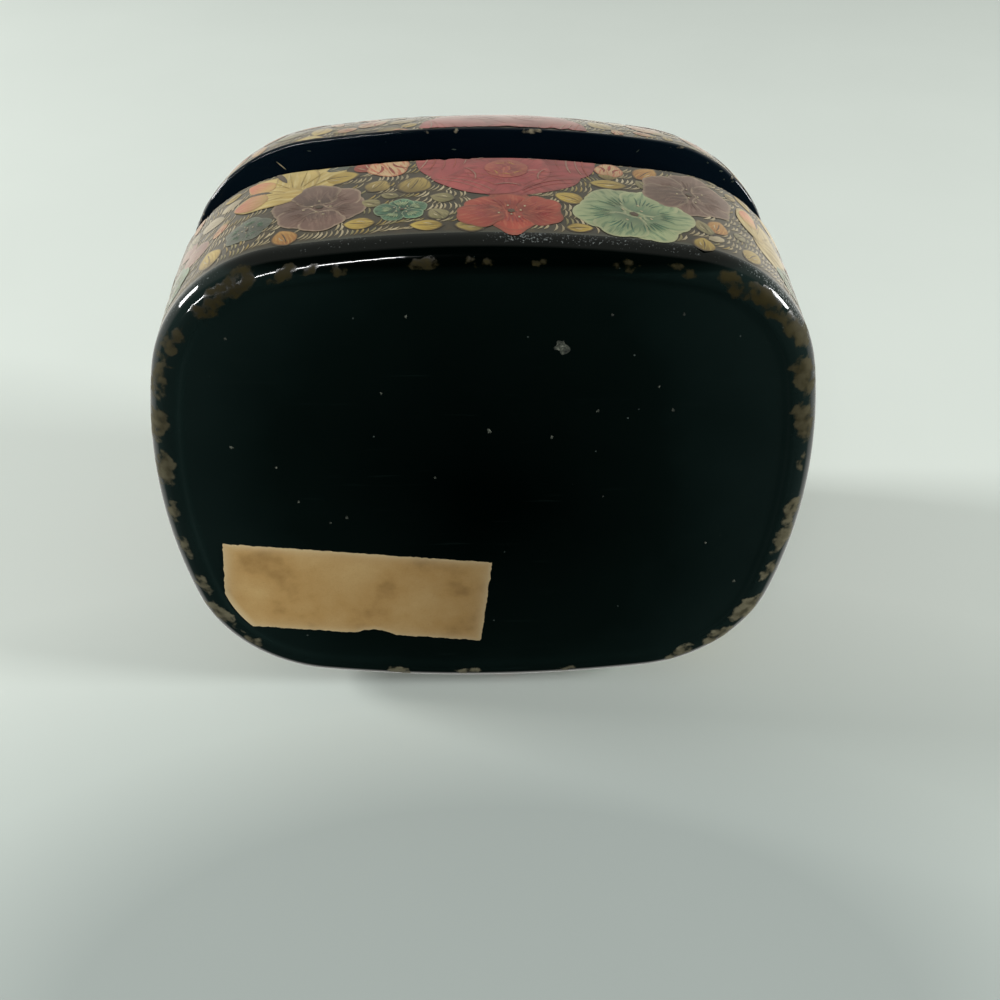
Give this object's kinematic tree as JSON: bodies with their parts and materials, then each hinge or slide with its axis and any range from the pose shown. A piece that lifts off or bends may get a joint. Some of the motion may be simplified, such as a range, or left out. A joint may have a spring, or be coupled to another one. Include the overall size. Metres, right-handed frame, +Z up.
{
  "type": "papier mache box",
  "caption": "Rounded oblong papier mache box with a domed lift-off lid on a neck collar, painted floral walls and a black lacquered underside.",
  "frame": {"origin": "middle of the ring that the box stands on, at the bottom of the base", "axes": "+Z up, the way the lid lifts off; X along the box's length; -Y is the long wall that shows its ornament, with the label's side of the underside at +Y"},
  "size_m": [0.1028, 0.0852, 0.0682],
  "materials": {
    "painted_base": "gloss",
    "painted_lid": "gloss",
    "black_lacquer": "satin",
    "aged_paper": "matte"
  },
  "bodies": {
    "base": {"base_shell": "painted_base", "neck_collar": "black_lacquer", "paper_label": "aged_paper"},
    "lid": {"lid_shell": "painted_lid"}
  },
  "joints": [
    {"name": "lid_lift", "type": "slide", "parent": "base", "child": "lid", "axis": [0, 0, 1], "range_m": [-0.0131, 0.03]}
  ]
}
